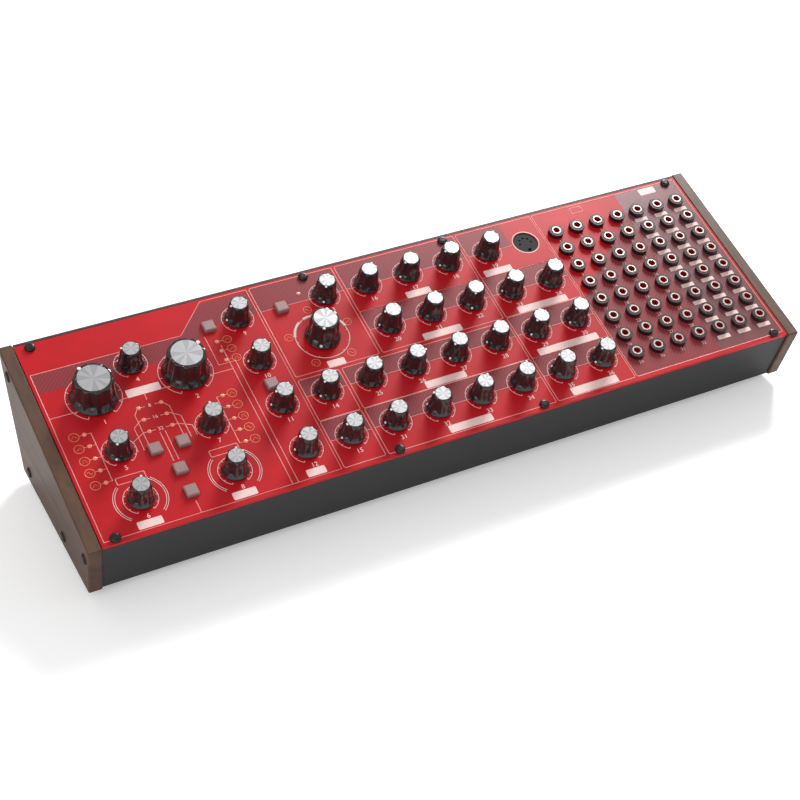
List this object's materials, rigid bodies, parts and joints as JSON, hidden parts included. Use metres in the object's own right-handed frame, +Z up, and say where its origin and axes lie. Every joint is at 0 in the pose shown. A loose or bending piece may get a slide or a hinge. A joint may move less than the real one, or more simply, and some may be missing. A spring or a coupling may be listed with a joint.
{
  "type": "analog synthesizer",
  "caption": "Sloped desktop analog synthesizer: a red control panel of fluted knobs, square buttons and a patch field on a dark steel tray between wooden cheeks, on rubber feet.",
  "frame": {"origin": "middle of the footprint, on the surface that the feet stand on", "axes": "+X along the panel to the player's right, +Y from the player to the back, +Z up"},
  "size_m": [0.4238, 0.1263, 0.0852],
  "materials": {
    "panel_enamel": "gloss red enamel with fine printed lines",
    "walnut": "satin oiled dark wood",
    "tray_coat": "fine matte charcoal powder coat",
    "knob_black": "glossy black moulding with a spun silver disc on top",
    "button_grey": "satin grey",
    "board_green": "green solder mask",
    "socket_black": "satin black",
    "foot_rubber": "matte black"
  },
  "bodies": {
    "case": {"audio_in_jack": "socket_black", "back_left_foot": "foot_rubber", "back_right_foot": "foot_rubber", "case_tray": "tray_coat", "front_left_foot": "foot_rubber", "front_right_foot": "foot_rubber", "jack_board": "board_green", "left_cheek": "walnut", "line_out_jack": "socket_black", "main_board": "board_green", "midi_in_socket": "socket_black", "midi_thru_socket": "socket_black", "phones_jack": "socket_black", "rear_board": "board_green", "right_cheek": "walnut", "top_panel": "panel_enamel"},
    "amplifier_bias_control": {"amplifier_bias_knob": "knob_black"},
    "attenuator1_control": {"attenuator1_knob": "knob_black"},
    "attenuator2_control": {"attenuator2_knob": "knob_black"},
    "delay_mix_control": {"delay_mix_knob": "knob_black"},
    "delay_repeats_control": {"delay_repeats_knob": "knob_black"},
    "delay_time_control": {"delay_time_knob": "knob_black"},
    "envelope1_attack_control": {"envelope1_attack_knob": "knob_black"},
    "envelope1_decay_control": {"envelope1_decay_knob": "knob_black"},
    "envelope1_release_control": {"envelope1_release_knob": "knob_black"},
    "envelope1_sustain_control": {"envelope1_sustain_knob": "knob_black"},
    "envelope2_attack_control": {"envelope2_attack_knob": "knob_black"},
    "envelope2_decay_control": {"envelope2_decay_knob": "knob_black"},
    "envelope2_release_control": {"envelope2_release_knob": "knob_black"},
    "envelope2_sustain_control": {"envelope2_sustain_knob": "knob_black"},
    "filter_envelope_control": {"filter_envelope_knob": "knob_black"},
    "filter_frequency_control": {"filter_frequency_knob": "knob_black"},
    "filter_key_track_switch": {"filter_key_track_button": "button_grey"},
    "filter_mod_depth_control": {"filter_mod_depth_knob": "knob_black"},
    "filter_mode_switch": {"filter_mode_button": "button_grey"},
    "filter_resonance_control": {"filter_resonance_knob": "knob_black"},
    "lfo_key_sync_switch": {"lfo_key_sync_button": "button_grey"},
    "lfo_rate_control": {"lfo_rate_knob": "knob_black"},
    "lfo_shape_control": {"lfo_shape_knob": "knob_black"},
    "noise_control": {"noise_knob": "knob_black"},
    "osc1_range_switch": {"osc1_range_button": "button_grey"},
    "osc1_shape_control": {"osc1_shape_knob": "knob_black"},
    "osc1_tune_control": {"osc1_tune_knob": "knob_black"},
    "osc1_width_control": {"osc1_width_knob": "knob_black"},
    "osc2_range_switch": {"osc2_range_button": "button_grey"},
    "osc2_shape_control": {"osc2_shape_knob": "knob_black"},
    "osc2_tune_control": {"osc2_tune_knob": "knob_black"},
    "osc2_width_control": {"osc2_width_knob": "knob_black"},
    "osc_mix_control": {"osc_mix_knob": "knob_black"},
    "osc_sync_switch": {"osc_sync_button": "button_grey"},
    "output_volume_control": {"output_volume_knob": "knob_black"},
    "overdrive_gain_control": {"overdrive_gain_knob": "knob_black"},
    "overdrive_level_control": {"overdrive_level_knob": "knob_black"},
    "overdrive_tone_control": {"overdrive_tone_knob": "knob_black"},
    "paraphonic_switch": {"paraphonic_button": "button_grey"},
    "portamento_control": {"portamento_knob": "knob_black"},
    "power_switch": {"power_button": "socket_black"},
    "sample_glide_control": {"sample_glide_knob": "knob_black"},
    "sample_rate_control": {"sample_rate_knob": "knob_black"},
    "slew_control": {"slew_knob": "knob_black"}
  },
  "joints": [
    {"name": "osc1_tune_turn", "type": "hinge", "parent": "case", "child": "osc1_tune_control", "pos_m": [-0.1764, 0.01994, 0.06458], "axis": [0, -0.2857, 0.9583], "range_deg": [-180, 120]},
    {"name": "osc2_tune_turn", "type": "hinge", "parent": "case", "child": "osc2_tune_control", "pos_m": [-0.1272, 0.01994, 0.06458], "axis": [0, -0.2857, 0.9583], "range_deg": [-91, 209]},
    {"name": "lfo_shape_turn", "type": "hinge", "parent": "case", "child": "lfo_shape_control", "pos_m": [-0.0502, 0.01879, 0.06424], "axis": [0, -0.2857, 0.9583], "range_deg": [-300, 0]},
    {"name": "osc_mix_turn", "type": "hinge", "parent": "case", "child": "osc_mix_control", "pos_m": [-0.1518, 0.03317, 0.06853], "axis": [0, -0.2857, 0.9583], "range_deg": [-219, 81]},
    {"name": "osc1_shape_turn", "type": "hinge", "parent": "case", "child": "osc1_shape_control", "pos_m": [-0.1764, -0.01417, 0.05441], "axis": [0, -0.2857, 0.9583], "range_deg": [-300, 0]},
    {"name": "osc1_width_turn", "type": "hinge", "parent": "case", "child": "osc1_width_control", "pos_m": [-0.1764, -0.04283, 0.04587], "axis": [0, -0.2857, 0.9583], "range_deg": [-130, 170]},
    {"name": "osc2_shape_turn", "type": "hinge", "parent": "case", "child": "osc2_shape_control", "pos_m": [-0.1272, -0.01417, 0.05441], "axis": [0, -0.2857, 0.9583], "range_deg": [-150, 150]},
    {"name": "osc2_width_turn", "type": "hinge", "parent": "case", "child": "osc2_width_control", "pos_m": [-0.1272, -0.04283, 0.04587], "axis": [0, -0.2857, 0.9583], "range_deg": [-130, 170]},
    {"name": "filter_frequency_turn", "type": "hinge", "parent": "case", "child": "filter_frequency_control", "pos_m": [-0.0883, 0.04313, 0.0715], "axis": [0, -0.2857, 0.9583], "range_deg": [-247, 53]},
    {"name": "filter_resonance_turn", "type": "hinge", "parent": "case", "child": "filter_resonance_control", "pos_m": [-0.0883, 0.01448, 0.06296], "axis": [0, -0.2857, 0.9583], "range_deg": [-240, 60]},
    {"name": "filter_mod_depth_turn", "type": "hinge", "parent": "case", "child": "filter_mod_depth_control", "pos_m": [-0.0883, -0.01417, 0.05441], "axis": [0, -0.2857, 0.9583], "range_deg": [-240, 60]},
    {"name": "filter_envelope_turn", "type": "hinge", "parent": "case", "child": "filter_envelope_control", "pos_m": [-0.0883, -0.04283, 0.04587], "axis": [0, -0.2857, 0.9583], "range_deg": [-240, 60]},
    {"name": "lfo_rate_turn", "type": "hinge", "parent": "case", "child": "lfo_rate_control", "pos_m": [-0.0375, 0.04313, 0.0715], "axis": [0, -0.2857, 0.9583], "range_deg": [-300, 0]},
    {"name": "noise_turn", "type": "hinge", "parent": "case", "child": "noise_control", "pos_m": [-0.0629, -0.01417, 0.05441], "axis": [0, -0.2857, 0.9583], "range_deg": [-271, 29]},
    {"name": "amplifier_bias_turn", "type": "hinge", "parent": "case", "child": "amplifier_bias_control", "pos_m": [-0.0629, -0.04283, 0.04587], "axis": [0, -0.2857, 0.9583], "range_deg": [-253, 47]},
    {"name": "delay_time_turn", "type": "hinge", "parent": "case", "child": "delay_time_control", "pos_m": [-0.0121, 0.04313, 0.0715], "axis": [0, -0.2857, 0.9583], "range_deg": [-110, 190]},
    {"name": "delay_repeats_turn", "type": "hinge", "parent": "case", "child": "delay_repeats_control", "pos_m": [0.0133, 0.04313, 0.0715], "axis": [0, -0.2857, 0.9583], "range_deg": [-263, 37]},
    {"name": "delay_mix_turn", "type": "hinge", "parent": "case", "child": "delay_mix_control", "pos_m": [0.0387, 0.04313, 0.0715], "axis": [0, -0.2857, 0.9583], "range_deg": [-257, 43]},
    {"name": "output_volume_turn", "type": "hinge", "parent": "case", "child": "output_volume_control", "pos_m": [0.0641, 0.04313, 0.0715], "axis": [0, -0.2857, 0.9583], "range_deg": [-110, 190]},
    {"name": "overdrive_gain_turn", "type": "hinge", "parent": "case", "child": "overdrive_gain_control", "pos_m": [-0.0121, 0.01448, 0.06296], "axis": [0, -0.2857, 0.9583], "range_deg": [-240, 60]},
    {"name": "overdrive_tone_turn", "type": "hinge", "parent": "case", "child": "overdrive_tone_control", "pos_m": [0.0133, 0.01448, 0.06296], "axis": [0, -0.2857, 0.9583], "range_deg": [-120, 180]},
    {"name": "overdrive_level_turn", "type": "hinge", "parent": "case", "child": "overdrive_level_control", "pos_m": [0.0387, 0.01448, 0.06296], "axis": [0, -0.2857, 0.9583], "range_deg": [-300, 0]},
    {"name": "sample_rate_turn", "type": "hinge", "parent": "case", "child": "sample_rate_control", "pos_m": [0.0641, 0.01448, 0.06296], "axis": [0, -0.2857, 0.9583], "range_deg": [-240, 60]},
    {"name": "sample_glide_turn", "type": "hinge", "parent": "case", "child": "sample_glide_control", "pos_m": [0.0895, 0.01448, 0.06296], "axis": [0, -0.2857, 0.9583], "range_deg": [-115, 185]},
    {"name": "envelope1_attack_turn", "type": "hinge", "parent": "case", "child": "envelope1_attack_control", "pos_m": [-0.0375, -0.01417, 0.05441], "axis": [0, -0.2857, 0.9583], "range_deg": [-105, 195]},
    {"name": "envelope1_decay_turn", "type": "hinge", "parent": "case", "child": "envelope1_decay_control", "pos_m": [-0.0121, -0.01417, 0.05441], "axis": [0, -0.2857, 0.9583], "range_deg": [-55, 245]},
    {"name": "envelope1_sustain_turn", "type": "hinge", "parent": "case", "child": "envelope1_sustain_control", "pos_m": [0.0133, -0.01417, 0.05441], "axis": [0, -0.2857, 0.9583], "range_deg": [-271, 29]},
    {"name": "envelope1_release_turn", "type": "hinge", "parent": "case", "child": "envelope1_release_control", "pos_m": [0.0387, -0.01417, 0.05441], "axis": [0, -0.2857, 0.9583], "range_deg": [-240, 60]},
    {"name": "slew_turn", "type": "hinge", "parent": "case", "child": "slew_control", "pos_m": [0.0641, -0.01417, 0.05441], "axis": [0, -0.2857, 0.9583], "range_deg": [-270, 30]},
    {"name": "portamento_turn", "type": "hinge", "parent": "case", "child": "portamento_control", "pos_m": [0.0895, -0.01417, 0.05441], "axis": [0, -0.2857, 0.9583], "range_deg": [-265, 35]},
    {"name": "envelope2_attack_turn", "type": "hinge", "parent": "case", "child": "envelope2_attack_control", "pos_m": [-0.0375, -0.04283, 0.04587], "axis": [0, -0.2857, 0.9583], "range_deg": [-243, 57]},
    {"name": "envelope2_decay_turn", "type": "hinge", "parent": "case", "child": "envelope2_decay_control", "pos_m": [-0.0121, -0.04283, 0.04587], "axis": [0, -0.2857, 0.9583], "range_deg": [-212, 88]},
    {"name": "envelope2_sustain_turn", "type": "hinge", "parent": "case", "child": "envelope2_sustain_control", "pos_m": [0.0133, -0.04283, 0.04587], "axis": [0, -0.2857, 0.9583], "range_deg": [-110, 190]},
    {"name": "envelope2_release_turn", "type": "hinge", "parent": "case", "child": "envelope2_release_control", "pos_m": [0.0387, -0.04283, 0.04587], "axis": [0, -0.2857, 0.9583], "range_deg": [-125, 175]},
    {"name": "attenuator1_turn", "type": "hinge", "parent": "case", "child": "attenuator1_control", "pos_m": [0.0641, -0.04283, 0.04587], "axis": [0, -0.2857, 0.9583], "range_deg": [-209, 91]},
    {"name": "attenuator2_turn", "type": "hinge", "parent": "case", "child": "attenuator2_control", "pos_m": [0.0895, -0.04283, 0.04587], "axis": [0, -0.2857, 0.9583], "range_deg": [-260, 40]},
    {"name": "filter_key_track_press", "type": "slide", "parent": "case", "child": "filter_key_track_switch", "axis": [0, 0.2857, -0.9583], "range_m": [0, 0.0008], "stiffness_N_per_m": 900, "springref_m": -0.001},
    {"name": "filter_mode_press", "type": "slide", "parent": "case", "child": "filter_mode_switch", "axis": [0, 0.2857, -0.9583], "range_m": [0, 0.0008], "stiffness_N_per_m": 900, "springref_m": -0.001},
    {"name": "lfo_key_sync_press", "type": "slide", "parent": "case", "child": "lfo_key_sync_switch", "axis": [0, 0.2857, -0.9583], "range_m": [0, 0.0008], "stiffness_N_per_m": 900, "springref_m": -0.001},
    {"name": "osc1_range_press", "type": "slide", "parent": "case", "child": "osc1_range_switch", "axis": [0, 0.2857, -0.9583], "range_m": [0, 0.0008], "stiffness_N_per_m": 900, "springref_m": -0.001},
    {"name": "osc2_range_press", "type": "slide", "parent": "case", "child": "osc2_range_switch", "axis": [0, 0.2857, -0.9583], "range_m": [0, 0.0008], "stiffness_N_per_m": 900, "springref_m": -0.001},
    {"name": "osc_sync_press", "type": "slide", "parent": "case", "child": "osc_sync_switch", "axis": [0, 0.2857, -0.9583], "range_m": [0, 0.0008], "stiffness_N_per_m": 900, "springref_m": -0.001},
    {"name": "paraphonic_press", "type": "slide", "parent": "case", "child": "paraphonic_switch", "axis": [0, 0.2857, -0.9583], "range_m": [0, 0.0008], "stiffness_N_per_m": 900, "springref_m": -0.001},
    {"name": "power_press", "type": "slide", "parent": "case", "child": "power_switch", "axis": [0, -0.988, 0.1544], "range_m": [0, 0.0025], "stiffness_N_per_m": 600, "springref_m": -0.001}
  ]
}
